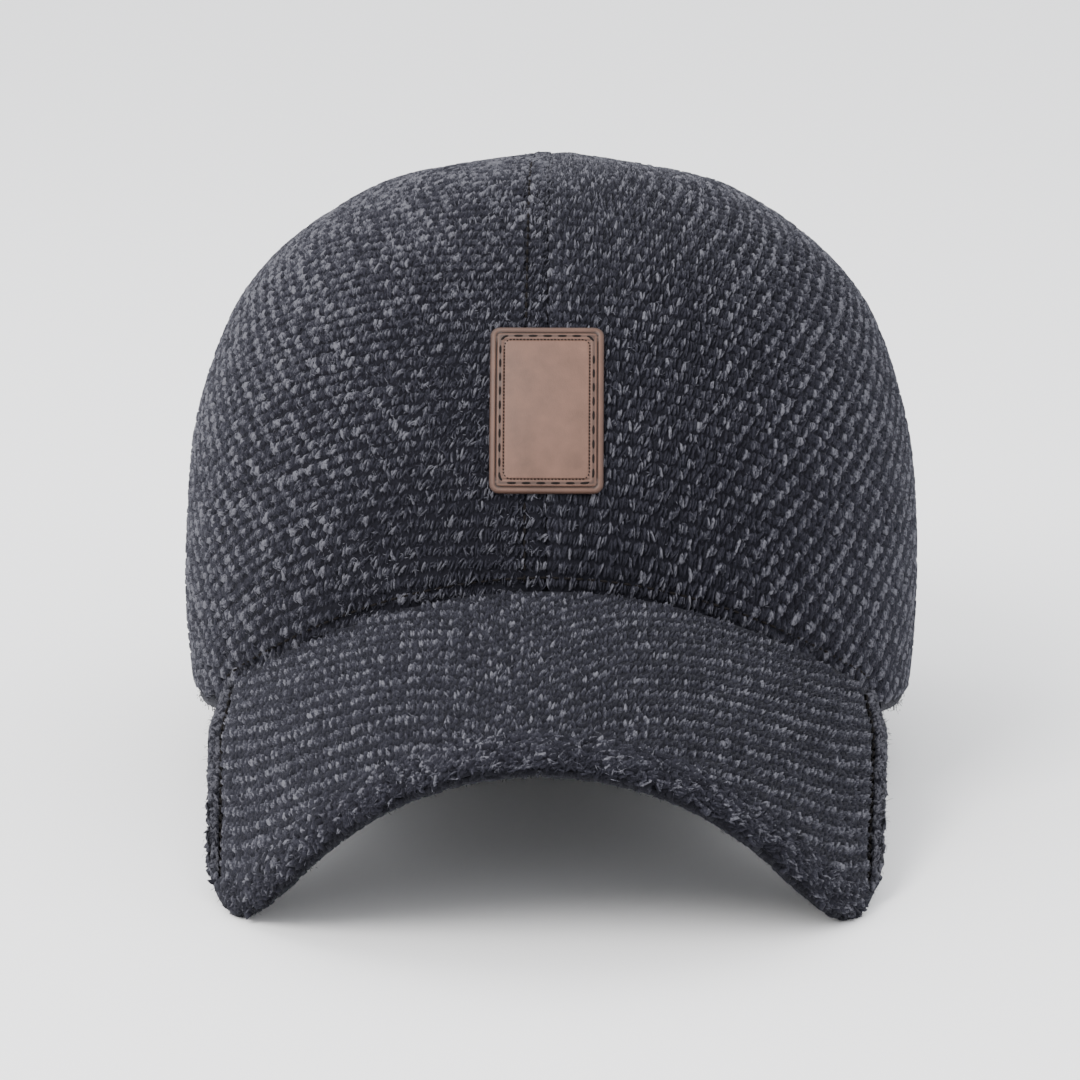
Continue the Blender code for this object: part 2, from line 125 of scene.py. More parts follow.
camera_data = bpy.data.cameras.new("camera")
camera_data.lens = CAMERA_LENS
camera_data.sensor_width = 36.0
camera_data.clip_start = 0.05
camera_data.clip_end = 20.0
camera = link("camera", camera_data)
level = math.cos(CAMERA_RISE)
forward = math.sin(CAMERA_TURN) * level, math.cos(CAMERA_TURN) * level, -math.sin(CAMERA_RISE)
forward = Vector(forward)
to_right = forward.cross(Vector((0.0, 0.0, 1.0))).normalized()
upwards = to_right.cross(forward)
aim = CAMERA_AIM - to_right * CAMERA_ASIDE[0] - upwards * CAMERA_ASIDE[1]
camera.location = aim - forward * CAMERA_DISTANCE
looks_at(camera, aim)
bpy.context.scene.camera = camera


# Crown: four panels of thick wool knit, pale grey stitches chequered with navy ones, sewn
# together along the middle of the front, the sides and the back. The knit is cut with its rows
# square to the slope from the hem to the top, and its face is brushed, so that fine hairs stand.
CROWN_WIDTH = 0.182
CROWN_HEIGHT = 0.1368
CROWN_FRONT = 0.103
CROWN_REAR = 0.108
CROWN_WALL = 0.003
PLAN_POWER = 2.25
SEAM_DIP = 0.0010
SEAM_ROLL = 0.0040
HEM_ROLL = 0.0018
FOLD_SHOWS = 0.0032
GAP = 0.0003
PEAK_WIDTH = 0.1592
PEAK_SEAM_END_HEIGHT = 0.006
PEAK_SEAM_RISE = 0.0287
PEAK_ROOT_THICKNESS = 0.0064
SEAM_END = math.radians(56.805164)
PATCH_WIDTH = 0.0262
PATCH_HEIGHT = 0.0395
PATCH_CENTRE_HEIGHT = 0.0760
# how far the cap leans back where it stands, and its shift down and forward to the frame
LEAN = math.radians(9.761529)
STANDS_AT = -0.01581143
MIDDLE_Y = -0.02880678
# height, half width, reach ahead, reach behind
CROWN_SECTIONS = [
    (0.000, 0.974, 0.962, 0.955),
    (0.080, 0.987, 0.982, 0.975),
    (0.200, 0.998, 0.996, 0.994),
    (0.330, 1.000, 1.000, 1.000),
    (0.450, 0.985, 0.985, 0.982),
    (0.550, 0.956, 0.954, 0.945),
    (0.650, 0.910, 0.905, 0.890),
    (0.735, 0.848, 0.842, 0.823),
    (0.805, 0.766, 0.765, 0.742),
    (0.865, 0.667, 0.668, 0.645),
    (0.915, 0.545, 0.556, 0.535),
    (0.950, 0.425, 0.440, 0.420),
    (0.977, 0.240, 0.270, 0.260),
    (1.000, 0.000, 0.000, 0.000),
]
STITCH_WIDTH = 0.00239
STITCH_HEIGHT = 0.00282
ROW_SLOPE = math.radians(33.0)
ROW_SKEW = 0.05
COLUMNS_GATHER = 0.45
BASE_DEPTH = 0.00055
YARN_TOP = 0.0006
# the creases at the ends of the peak: where they start, and how they lean outwards
CREASE_DEPTH = 0.0012
CREASE_HALF_WIDTH = 0.0016
CREASE_HEIGHT = 0.016
CREASE_ASIDE = 0.0775
CREASE_FOOT = 0.006
CREASE_LEAN = 0.05
HEM_DIP = 0.0007
# the tuck along the peak's seam, and the slack of the whole cloth
TUCK_DEPTH = 0.0008
TUCK_HEIGHT = 0.003
SLACK_DEPTH = 0.00035
# a sewn line beside the front seam and one above the peak's seam, pressed into the knit
TOPSTITCH_ASIDE = 0.0050
TOPSTITCH_UP = 0.0026
TOPSTITCH_DEPTH = 0.0006
TOPSTITCH_HALF_WIDTH = 0.0007
# name, from, to in quarter turns from the front, hairs, seed of its chance
CROWN_PANELS = [
    ("crown_front_left", 0, 1, 9000, 117),
    ("crown_rear_left", 1, 2, 7000, 111),
    ("crown_rear_right", -2, -1, 7000, 115),
    ("crown_front_right", -1, 0, 18000, 123),
]
# the knit on the viewer's left is felted: quieter, and its strands lie less evenly; it is also
# painted paler, as painted light falling from the left. Each finish says which leg of a pale stitch
# is painted lit
FELTED_AND_LIT = {"contrast": 0.66, "right_leg_lit": True, "bright": 1.24, "loose": 1.0}
CRISP = {"contrast": 0.86, "right_leg_lit": False, "bright": 1.02, "loose": 0.0}
# columns and rows of the cloth under the stitches, and of the close grid that places them
GROUND_GRID = (50, 62)
STITCH_GRID = (460, 560)
SEAM_CROWDING = 0.75
# painted shade: the navy cloth under the stitches is painted near black, for the shade in the gaps
# between stitches
GROUND_PAINTED_SHADE = 0.06
INSIDE_SHADE = 0.16
RIM_SHADE = 0.10
SEAM_SHADE = 0.04
CROWN_HAIRS = (0.0007, 0.0015)
UP = np.array([0.0, 0.0, 1.0])


def curve_through(rows, steps=24):
    """Points of a smooth curve through the rows of a table."""
    table = np.array(rows, dtype=float)
    table = np.vstack([2 * table[0] - table[1], table, 2 * table[-1] - table[-2]])
    points = []
    for k in range(1, len(table) - 2):
        before, start, end, after = table[k - 1 : k + 3]
        for t in np.arange(steps) / steps:
            bend = (2 * before - 5 * start + 4 * end - after) * t**2
            turn = (3 * start - before - 3 * end + after) * t**3
            points.append(0.5 * (2 * start + (end - before) * t + bend + turn))
    points.append(table[-2])
    return np.array(points)


def summed(steps):
    return np.concatenate([[0.0], np.cumsum(steps)])


half_width = CROWN_WIDTH / 2
sections = curve_through(CROWN_SECTIONS)
sections = sections * (CROWN_HEIGHT, half_width, CROWN_FRONT, CROWN_REAR)
sections = np.maximum(sections, 0.0)
climbs = summed(np.hypot(*np.diff(sections[:, :2], axis=0).T))
climbs = climbs / climbs[-1]


def unit(vectors):
    return vectors / np.maximum(np.linalg.norm(vectors, axis=-1, keepdims=True), 1e-12)


def crown_at(angle, climb):
    """Points on the crown, by angle from the front and by share of the way up its wall."""
    height, side, front, rear = (np.interp(climb, climbs, column) for column in sections.T)
    across, along = np.sin(angle), np.cos(angle)
    reach = np.maximum(np.where(along > 0, front, rear), 1e-7)
    side = np.maximum(side, 1e-7)
    radius = (np.abs(across) / side) ** PLAN_POWER + (np.abs(along) / reach) ** PLAN_POWER
    radius = radius ** (-1 / PLAN_POWER)
    return np.stack([radius * across, -radius * along, height + 0 * radius], axis=-1)


def climb_at(height):
    return np.interp(height, sections[:, 0], climbs)


def crown_outwards(angle, climb):
    """Directions square to the crown's face."""
    step = 1e-4
    round_it = crown_at(angle + step, climb) - crown_at(angle - step, climb)
    up_it = crown_at(angle, np.minimum(climb + 0.002, 1.0))
    up_it = up_it - crown_at(angle, np.maximum(climb - 0.002, 0.0))
    out = np.cross(round_it, up_it)
    flat = np.linalg.norm(round_it, axis=-1, keepdims=True) < 1e-7
    return unit(np.where(flat, UP, out))


def off_crown(angle, height, outwards):
    climb = climb_at(height)
    return crown_at(angle, climb) + crown_outwards(angle, climb) * outwards


def arch(angle):
    """1 at the middle of the peak's seam and 0 from its ends backwards."""
    across = crown_at(angle, climb_at(PEAK_SEAM_END_HEIGHT))[..., 0]
    inside = np.maximum(0.0, 1 - (across / (PEAK_WIDTH / 2)) ** 2)
    return np.where(np.abs(angle) < SEAM_END, inside, 0.0)


def seam_height(angle):
    return PEAK_SEAM_END_HEIGHT + PEAK_SEAM_RISE * arch(angle)


def hem_height(angle):
    hem = FOLD_SHOWS + GAP
    rise = PEAK_SEAM_END_HEIGHT + PEAK_SEAM_RISE - PEAK_ROOT_THICKNESS - hem
    return hem + rise * arch(angle)


def stood(points):
    """Points of the level cap, leaned back to where it stands on the table."""
    x, y, z = points[..., 0], points[..., 1], points[..., 2]
    turned_y = y * math.cos(LEAN) + z * math.sin(LEAN) - MIDDLE_Y
    turned_z = -y * math.sin(LEAN) + z * math.cos(LEAN) - STANDS_AT
    return np.stack([x, turned_y, np.maximum(turned_z, 0.0)], axis=-1)


class Cloth:
    """Points, faces and shades of one piece, gathered from its ground, strands and hairs."""

    def __init__(self):
        self.points, self.faces, self.shades, self.maps = [], [], [], []
        self.count, self.grids, self.strands = 0, 0, 0

    def add(self, points, faces, shades):
        points = np.asarray(points, dtype=float).reshape(-1, 3)
        self.points.append(points)
        self.shades.append(np.broadcast_to(np.asarray(shades, dtype=float).ravel(), len(points)))
        self.faces.append(np.asarray(faces, dtype=int) + self.count)
        self.count += len(points)

    def grid(self, points, shades, closed=False, flip=False):
        """Faces between the rows of a grid of points, round it too where it is closed."""
        rows, columns = points.shape[:2]
        here = np.arange(rows * columns).reshape(rows, columns)
        following = np.roll(here, -1, axis=1)
        if not closed:
            here, following = here[:, :-1], following[:, :-1]
        faces = np.stack([here[:-1], following[:-1], following[1:], here[1:]], axis=-1).reshape(-1, 4)
        self.add(points, faces[:, ::-1] if flip else faces, shades)
        over, down = np.meshgrid(np.linspace(0, 1, columns), np.linspace(0, 1, rows))
        self.maps.append((True, self.grids, np.stack([over, down], axis=-1).reshape(-1, 2)))
        self.grids += 1

    def many(self, points, faces, shades, inside):
        """Many of the same small form, one to a row, each with its own cell of the flat map."""
        first = np.arange(len(points))[:, None, None] * points.shape[1]
        self.add(points, (faces[None] + first).reshape(-1, faces.shape[1]), shades)
        self.maps.append((False, self.strands, np.broadcast_to(inside, (len(points), *inside.shape))))
        self.strands += len(points)

    def flat_map(self):
        """Grids lie side by side on the right half, and small forms in square cells on the left."""
        cells = int(math.ceil(math.sqrt(self.strands * 2))) + 4
        laid = []
        for is_grid, number, inside in self.maps:
            if is_grid:
                wide = 0.49 / self.grids
                laid.append(inside * (wide * 0.96, 0.98) + (0.505 + wide * number, 0.01))
            else:
                cell = number + np.arange(len(inside))
                corner = np.stack([cell % (cells // 2 - 1), cell // (cells // 2 - 1)], axis=-1)
                laid.append(((corner[:, None] + inside) / cells).reshape(-1, 2))
        return np.vstack(laid)

    def made(self, name, material):
        """The object. Its shades are kept with its vertices for the material to read."""
        points = stood(np.vstack(self.points))
        mesh = bpy.data.meshes.new(name)
        sizes = np.concatenate([np.full(len(faces), faces.shape[1]) for faces in self.faces])
        corners = np.concatenate([faces.ravel() for faces in self.faces])
        mesh.vertices.add(len(points))
        mesh.vertices.foreach_set("co", points.ravel().astype(np.float32))
        mesh.loops.add(len(corners))
        mesh.loops.foreach_set("vertex_index", corners.astype(np.int32))
        mesh.polygons.add(len(sizes))
        starts = np.concatenate([[0], np.cumsum(sizes)[:-1]])
        mesh.polygons.foreach_set("loop_start", starts.astype(np.int32))
        mesh.update(calc_edges=True)
        mesh.validate()
        shade = mesh.attributes.new("shade", "FLOAT", "POINT")
        shade.data.foreach_set("value", np.concatenate(self.shades).astype(np.float32))
        flat = mesh.uv_layers.new(name="OFBake")
        flat.data.foreach_set("uv", self.flat_map()[corners].ravel().astype(np.float32))
        mesh.materials.append(material)
        mesh.shade_smooth()
        return link(name, mesh)


# a place on the close grid may miss its stitch by this much, and rows spread by these shares
FARTHEST_MISS = 0.00042
STRETCH_LIMITS = (0.85, 1.6)


def lay_stitches(points, across, along, keep, facing=0):
    """Picks the point of a close grid nearest to each stitch, by distances across and along the
    fabric. Gives places, outward and upward directions, stitch numbers, and how far the rows
    are pulled apart. facing is 1 where the cloth faces up and -1 where it faces down."""
    column = np.round(across / STITCH_WIDTH).astype(int)
    row = np.round(along / STITCH_HEIGHT).astype(int)
    miss = np.hypot(across - column * STITCH_WIDTH, along - row * STITCH_HEIGHT)
    miss = np.where(keep, miss, 1.0)
    order = np.lexsort((miss.ravel(), row.ravel(), column.ravel()))
    columns, rows = column.ravel()[order], row.ravel()[order]
    first = np.ones(len(order), dtype=bool)
    first[1:] = (columns[1:] != columns[:-1]) | (rows[1:] != rows[:-1])
    chosen = order[first]
    chosen = chosen[miss.ravel()[chosen] < FARTHEST_MISS]
    down_points, over_points = np.gradient(points, axis=(0, 1))
    down_across, over_across = np.gradient(across)
    down_along, over_along = np.gradient(along)
    out = unit(np.cross(over_points, down_points)).reshape(-1, 3)[chosen]
    turn = np.sign(over_across * down_along - down_across * over_along)
    wale = down_points * over_across[..., None] - over_points * down_across[..., None]
    rise = np.abs(over_across * down_along - down_across * over_along)
    stretch = (np.linalg.norm(wale, axis=-1) / np.maximum(rise, 1e-12)).ravel()[chosen]
    wale = unit(wale * turn[..., None]).reshape(-1, 3)[chosen]
    if out[:, 2].mean() * facing < 0:
        out = -out
    numbers = column.ravel()[chosen], row.ravel()[chosen]
    return points.reshape(-1, 3)[chosen], out, wale, numbers, np.clip(stretch, *STRETCH_LIMITS)


# painted shade: a strand's foot, where it goes into the cloth, is painted darker
STRAND_FOOT_PAINTED_SHADE = 0.33


def add_strands(cloth, places, out, wale, sizes, tilt, bend, shades):
    """Many strands of yarn at once, each a low ridge with pointed ends. sizes are half length,
    half width and height, one row each. A strand is painted dark where it goes into the cloth,
    as painted shade."""
    around = [(-1.0, 0.0), (-0.5, -1.0), (0.5, -1.0), (1.0, 0.0), (0.5, 1.0), (-0.5, 1.0)]
    ridge = [(-0.45, 0.0, 1.0), (0.45, 0.0, 1.0)]
    shape = np.array([(x, y, -0.25) for x, y in around] + ridge)
    faces = [(6, 1, 0), (6, 0, 5), (7, 2, 1), (6, 7, 1), (6, 5, 4), (7, 6, 4), (7, 3, 2), (7, 4, 3)]
    aside = np.cross(wale, out)
    long_way = wale * np.cos(tilt)[:, None] + aside * np.sin(tilt)[:, None]
    cross_way = aside * np.cos(tilt)[:, None] - wale * np.sin(tilt)[:, None]
    ways = np.stack([long_way, cross_way, out], axis=1) * sizes[:, :, None]
    points = places[:, None] + np.einsum("kc,ncx->nkx", shape, ways)
    bow = bend[:, None] * (1 - shape[:, 0] ** 2)[None]
    points = points + cross_way[:, None] * bow[:, :, None]
    fade = np.where(shape[:, 2] > 0, 1.0, STRAND_FOOT_PAINTED_SHADE)
    cloth.many(points, np.array(faces), shades[:, None] * fade[None], shape[:, :2] * 0.46 + 0.5)


# a stitch's two legs and their two strands each, by distances from its middle, and their shades
LEG_ASIDE = 0.00060
STRAND_ASIDE = 0.00022
STRAY_ASIDE = 0.00014
STRAY_ALONG = 0.00034
STRAND_BEND = 0.00022
STRAND_HALF_WIDTHS = (0.00036, 0.00058)
# of a pale stitch and a navy one
HALF_LENGTHS = (0.00145, 0.00150)
HEIGHTS = (0.00116, 0.00086)
# painted light and shade: one leg of a pale stitch is painted lighter, the other darker
LIT_LEG_TONE = 0.80
SHADED_LEG_TONE = 0.51
NAVY_TONE = 0.30
MIDDLE_TONE = 0.34


def add_stitches(cloth, rng, laid, contrast, right_leg_lit=False, bright=1.0, flat=1.0, loose=0.0):
    """Two legs of two strands for each stitch. Pale and navy stitches are chequered, and one leg
    of each pale stitch is painted lighter than the other, as painted light. flat under 1 makes
    them lower and wider, and loose makes them thinner and less even. Gives each stitch's tone."""
    places, out, wale, (column, row), stretch = laid
    aside = np.cross(wale, out)
    pale = (column + row) % 2 == 0
    count = len(places)
    melange = rng.normal(0.0, 0.13 + 0.10 * loose, count)
    tones = np.zeros(count)
    for side in (-1, 1):
        # which leg of a pale stitch is painted lit
        leg_lit = (side > 0) == right_leg_lit
        tone = np.where(pale, LIT_LEG_TONE if leg_lit else SHADED_LEG_TONE, NAVY_TONE)
        tone = tone * np.exp(melange + rng.normal(0, 0.15, count))
        tone = (MIDDLE_TONE + (tone - MIDDLE_TONE) * contrast) * bright
        tones = tones + tone / 2
        for strand in (-1, 1):
            apart = side * LEG_ASIDE + strand * STRAND_ASIDE + rng.normal(0, STRAY_ASIDE, count)
            middle = places + aside * apart[:, None]
            middle = middle + wale * rng.normal(0, STRAY_ALONG, count)[:, None]
            half_long = stretch * np.where(pale, *HALF_LENGTHS)
            half_long = half_long * rng.uniform(0.75 - 0.15 * loose, 1.25 - 0.05 * loose, count)
            half_wide = rng.uniform(*STRAND_HALF_WIDTHS, count) / flat**0.6 * (1 - 0.25 * loose)
            tall = flat * np.where(pale, *HEIGHTS) * rng.uniform(0.84, 1.16, count)
            tilt = math.radians(11.0 + 7.0 * loose + side * 5.0)
            tilt = tilt + rng.normal(0, 0.20 + 0.10 * loose, count)
            bend = rng.normal(0, STRAND_BEND, count)
            shade = np.clip(tone * np.exp(rng.normal(0, 0.16, count)), 0.03, 1.25)
            sizes = np.stack([half_long, half_wide, tall], axis=-1)
            add_strands(cloth, middle, out, wale, sizes, tilt, bend, shade)
    return tones


def add_hairs(cloth, rng, points, out, wale, tones, count, lengths, rise, thick=0.00006):
    """Loose fibres: thin bent blades that start on the yarn, have its tone, and end clear of it."""
    picked = rng.integers(0, len(points), count)
    start, out, wale = points[picked], out[picked], wale[picked]
    aside = np.cross(wale, out)
    heading = rng.normal(math.radians(20.0), 1.0, count)
    flat_way = wale * np.cos(heading)[:, None] + aside * np.sin(heading)[:, None]
    start = start + aside * rng.normal(0, 0.0007, count)[:, None]
    start = start + wale * rng.normal(0, 0.0009, count)[:, None]
    length = rng.uniform(*lengths, count)[:, None]
    up = np.abs(rng.normal(0, rise, count))[:, None]
    first = unit(flat_way + out * (up + 0.25))
    second = unit(flat_way + out * (up * 0.5) + aside * rng.normal(0, 0.5, count)[:, None])
    middle = start + first * length * 0.5
    tip = middle + second * length * 0.5
    blade = unit(np.cross(first, out)) * thick
    blades = np.stack([start - blade, start + blade, middle + blade, middle - blade, tip], axis=1)
    faces = np.array([(0, 1, 2), (0, 2, 3), (3, 2, 4)])
    shade = np.repeat((tones[picked] * rng.uniform(0.6, 1.15, count))[:, None], 5, axis=1)
    inside = np.array([(0.2, 0.05), (0.8, 0.05), (0.8, 0.5), (0.2, 0.5), (0.5, 0.95)])
    cloth.many(blades, faces, shade, inside)


def spread_out(tree, value, low, high, start=0.0, end=1.0):
    """A value between start and end of a shader, spread from low to high."""
    limits = {"From Min": start, "From Max": end, "To Min": low, "To Max": high}
    return node(tree, "ShaderNodeMapRange", Value=value, **limits).outputs["Result"]


def both(tree, operation, first, second):
    """Two values of a shader, added or multiplied."""
    made = node(tree, "ShaderNodeMath", operation=operation)
    tree.links.new(first, made.inputs[0])
    tree.links.new(second, made.inputs[1])
    return made.outputs[0]


SHEEN_TINT = (0.80, 0.82, 0.95, 1.0)


def wool(name, deep, mid, pale, sheen=0.05):
    """Brushed wool: its shade picks between the dark and the pale yarn, broken up by fibres."""
    brushed = {"Sheen Weight": sheen, "Sheen Roughness": 0.42, "Sheen Tint": SHEEN_TINT}
    made, cloth = painted(name, {"Specular IOR Level": 0.18, **brushed})
    tree = made.node_tree
    place = node(tree, "ShaderNodeTexCoord").outputs["Object"]
    drawn = {"Vector": place, "Scale": (1.0, 1.0, 0.55), "Rotation": (0.2, 0.35, 0.1)}
    way = {"Vector": node(tree, "ShaderNodeMapping", **drawn).outputs["Vector"]}
    fibres = node(tree, "ShaderNodeTexNoise", Scale=1500.0, Detail=5.0, Roughness=0.72, **way)
    patches = node(tree, "ShaderNodeTexNoise", Scale=95.0, Detail=2.0, Roughness=0.5, **way)
    shade = node(tree, "ShaderNodeAttribute", attribute_name="shade")
    spread = spread_out(tree, fibres.outputs["Fac"], 0.30, 1.75, 0.34, 0.66)
    broken = both(tree, "MULTIPLY", shade.outputs["Fac"], spread)
    cloudy = spread_out(tree, patches.outputs["Fac"], 0.72, 1.28)
    yarn = node(tree, "ShaderNodeValToRGB", Fac=both(tree, "MULTIPLY", broken, cloudy))
    ramp = yarn.color_ramp.elements
    ramp[0].position, ramp[0].color = 0.0, (*deep, 1.0)
    ramp[1].position, ramp[1].color = 1.0, (*pale, 1.0)
    ramp.new(0.42).color = (*mid, 1.0)
    tree.links.new(yarn.outputs["Color"], cloth.inputs["Base Color"])
    rough = spread_out(tree, fibres.outputs["Fac"], 0.82, 1.0)
    tree.links.new(rough, cloth.inputs["Roughness"])
    height = fibres.outputs["Fac"]
    bump = node(tree, "ShaderNodeBump", Strength=0.75, Distance=0.0003, Height=height)
    tree.links.new(bump.outputs["Normal"], cloth.inputs["Normal"])
    return made


knit_wool = wool(
    "knit_wool", (0.0009, 0.0009, 0.0030), (0.0215, 0.0215, 0.0302), (0.122, 0.122, 0.141)
)


def crown_dip(points, angle, height):
    """How far the face is drawn in along the seams, the hem and the creases by the peak's ends."""
    to_seam = np.minimum(np.abs(points[..., 0]), np.abs(points[..., 1]))
    dip = SEAM_DIP * np.maximum(0.0, 1 - to_seam / SEAM_ROLL) ** 2
    above = (height - hem_height(angle)) / HEM_ROLL
    dip = dip + HEM_DIP * np.clip(1 - above, 0.0, 1.0) ** 2
    crease_at = np.abs(points[..., 0]) - CREASE_ASIDE - (height - CREASE_FOOT) * CREASE_LEAN
    fade = np.clip(1 - (height - 0.004) / CREASE_HEIGHT, 0.0, 1.0)
    ahead = points[..., 1] < 0
    crease = CREASE_DEPTH * np.exp(-((crease_at / CREASE_HALF_WIDTH) ** 2)) * fade * ahead
    above_seam = (height - seam_height(angle)) / TUCK_HEIGHT
    by_peak = np.abs(angle) < SEAM_END
    tuck = TUCK_DEPTH * np.clip(1 - np.abs(above_seam), 0.0, 1.0) * by_peak
    beside = (points[..., 0] + TOPSTITCH_ASIDE) / TOPSTITCH_HALF_WIDTH
    pressed_in = np.exp(-(beside**2)) * ahead
    over_peak = (height - seam_height(angle) - TOPSTITCH_UP) / TOPSTITCH_HALF_WIDTH
    pressed_in = np.maximum(pressed_in, np.exp(-(over_peak**2)) * by_peak)
    slack = SLACK_DEPTH * np.sin(points[..., 0] * 95 + 1.3)
    slack = slack * np.sin(height * 120 + points[..., 1] * 70)
    return dip + crease + tuck + slack + pressed_in * TOPSTITCH_DEPTH


turn_steps = np.linspace(-math.pi, math.pi, 1441)
widest = climb_at(0.33 * CROWN_HEIGHT)
plan = crown_at(turn_steps, np.full(len(turn_steps), widest))
plan_arc = summed(np.linalg.norm(np.diff(plan, axis=0), axis=1))
plan_arc = plan_arc - plan_arc[len(plan_arc) // 2]


def panel_grid(start, end, columns, rows, gather):
    """The face of a panel as a grid from its hem to the top, with its dips, and its directions.
    gather brings its columns closer together at the seams."""
    turn = np.linspace(0.0, 1.0, columns)
    turn = turn - gather * np.sin(turn * 2 * math.pi) / (2 * math.pi)
    angle, way = np.meshgrid(start + (end - start) * turn, np.linspace(0.0, 1.0, rows))
    hem = climb_at(hem_height(angle))
    climb = hem + (1 - hem) * way
    level = crown_at(angle, climb)
    out = crown_outwards(angle, climb)
    aside = np.array([np.sign(math.sin((start + end) / 2)), -np.sign(math.cos((start + end) / 2)), 0])
    dip = crown_dip(level, angle, level[..., 2])
    return angle, climb, level, out, level - out * dip[..., None] + aside * GAP / 2


for name, first, last, hairs, seed in CROWN_PANELS:
    rng = np.random.default_rng(seed)
    panel = Cloth()
    start, end = first * math.pi / 2, last * math.pi / 2
    angle, climb, level, out, face = panel_grid(start, end, *GROUND_GRID, SEAM_CROWDING)
    outer = face - out * BASE_DEPTH
    inner = level - out * CROWN_WALL
    panel.grid(outer, GROUND_PAINTED_SHADE)
    panel.grid(inner, INSIDE_SHADE, flip=True)
    panel.grid(np.stack([inner[0], outer[0]]), RIM_SHADE)
    panel.grid(np.stack([outer[:, 0], inner[:, 0]]), SEAM_SHADE, flip=True)
    panel.grid(np.stack([inner[:, -1], outer[:, -1]]), SEAM_SHADE, flip=True)
    angle, climb, level, out, face = panel_grid(start, end, *STITCH_GRID, 0.0)
    scale = np.interp(climb, climbs, sections[:, 1]) / half_width
    scale = COLUMNS_GATHER + (1 - COLUMNS_GATHER) * scale
    at_back = math.copysign(plan_arc[-1], first + last) if abs(first + last) == 3 else 0.0
    across = (np.interp(angle, turn_steps, plan_arc) - at_back) * scale + STITCH_WIDTH / 2
    along = level[..., 2] * math.cos(ROW_SLOPE) - np.abs(level[..., 1]) * math.sin(ROW_SLOPE)
    along = along + ROW_SKEW * across
    behind_peak = (np.abs(angle) < SEAM_END) & (level[..., 2] < seam_height(angle) - 0.0005)
    under_patch = (np.abs(level[..., 0]) < PATCH_WIDTH / 2 - 0.0012) & (level[..., 1] < 0)
    under_patch &= np.abs(level[..., 2] - PATCH_CENTRE_HEIGHT) < PATCH_HEIGHT / 2 - 0.0015
    keep = ~behind_peak & ~under_patch & (climb < 0.990)
    keep &= level[..., 2] > hem_height(angle) + 0.0006
    laid = lay_stitches(face - out * BASE_DEPTH, across, along, keep)
    # the viewer's left panel gets the felted knit, painted paler as painted light
    finish_and_light = FELTED_AND_LIT if name == "crown_front_right" else CRISP
    tones = add_stitches(panel, rng, laid, **finish_and_light)
    tops = laid[0] + laid[1] * YARN_TOP
    add_hairs(panel, rng, tops, laid[1], laid[2], tones, hairs, CROWN_HAIRS, 0.25)
    cap_panel = panel.made(name.replace("crown", "knit"), knit_wool)
    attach(cap_panel, "root")
    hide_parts(name)


# Peak: two curved layers of the same knit over a stiff board. The top layer rolls over the
# thick front edge, and the under layer comes up round the side edges. Both are stitched down
# in a groove along each side.
PEAK_REACH = 0.072
PEAK_THICKNESS = 0.0080
PEAK_NOSE = 0.0085
PEAK_SIDE_BAND = 0.0075
PEAK_FALL = 0.0306
PEAK_CORNER_FALL = 0.0388
PEAK_CROWNING = 0.0012
GROOVE_DEPTH = 0.0014
ON_CROWN = 1.5 * GAP
ROOT_BLEND = 0.25
NORMALS_WITHIN = 0.92
GROOVE_ROLL = 0.10
# painted shade: the peak's knit is painted darker, since its top faces the light from above
PEAK_PAINTED_SHADE = 0.78
PEAK_RIM_SHADE = 0.05
# stitches end at these shares of the way aside and out, and curls start by the front edge. The bare
# ground left in each groove shows as a line of painted shade
STITCHED_WIDTH = 0.968
STITCHED_REACH = 0.90
ROLL_STARTS = 0.895
CURL_HALF_LENGTHS = (0.0010, 0.0021)
CURL_HALF_WIDTHS = (0.00045, 0.0008)
LOWEST_CURL = 0.0007
CURL_BEND = 0.0005
CURL_HAIRS = (0.0009, 0.0022)
PEAK_HAIRS = (0.0008, 0.0020)
# length of the sloping peak for its reach
ALONG_PEAK = 1.09
# the rows of the knit bow forward on each side of the peak's middle
ROW_BOW = 0.0105
ROW_BOW_HALF = 0.068
# share of the seam, half width, reach ahead of the seam's ends, fall of the corner
PEAK_EDGE = [
    (0.00, 0.000, 1.000, 0.000),
    (0.20, 0.202, 0.986, 0.052),
    (0.40, 0.414, 0.945, 0.215),
    (0.58, 0.601, 0.868, 0.485),
    (0.72, 0.742, 0.768, 0.780),
    (0.82, 0.834, 0.676, 0.955),
    (0.90, 0.896, 0.600, 1.000),
    (0.96, 0.938, 0.536, 0.905),
    (1.00, 0.955, 0.478, 0.755),
]
peak_half = PEAK_WIDTH / 2
edge_curve = curve_through(PEAK_EDGE)
groove_edge = 1 - 2 * GROOVE_DEPTH / PEAK_THICKNESS
edge_lip = 3 * GAP / PEAK_THICKNESS


def peak_root(share):
    angle = share * SEAM_END
    top = off_crown(angle, seam_height(angle), ON_CROWN)
    bottom = off_crown(angle, seam_height(angle) - PEAK_ROOT_THICKNESS, ON_CROWN)
    return (top + bottom) / 2, (top - bottom) / 2


root_middle = peak_root(np.array(0.0))[0]
root_end = peak_root(np.array(1.0))[0]


def peak_middle(share, out):
    """Points on the middle of the peak's thickness, by share across it and of the way out."""
    half, ahead, fall = (np.interp(np.abs(share), edge_curve[:, 0], c) for c in edge_curve[:, 1:].T)
    front = root_middle[1] - PEAK_REACH
    edge_y = root_end[1] + (front - root_end[1]) * ahead
    edge_z = root_middle[2] - PEAK_FALL - PEAK_CORNER_FALL * fall
    edge = np.stack([np.copysign(peak_half * half, share), edge_y, edge_z], axis=-1)
    root = peak_root(share)[0]
    lift = PEAK_CROWNING * np.sin(math.pi * out)
    return root + (edge - root) * out[..., None] + UP * lift[..., None]


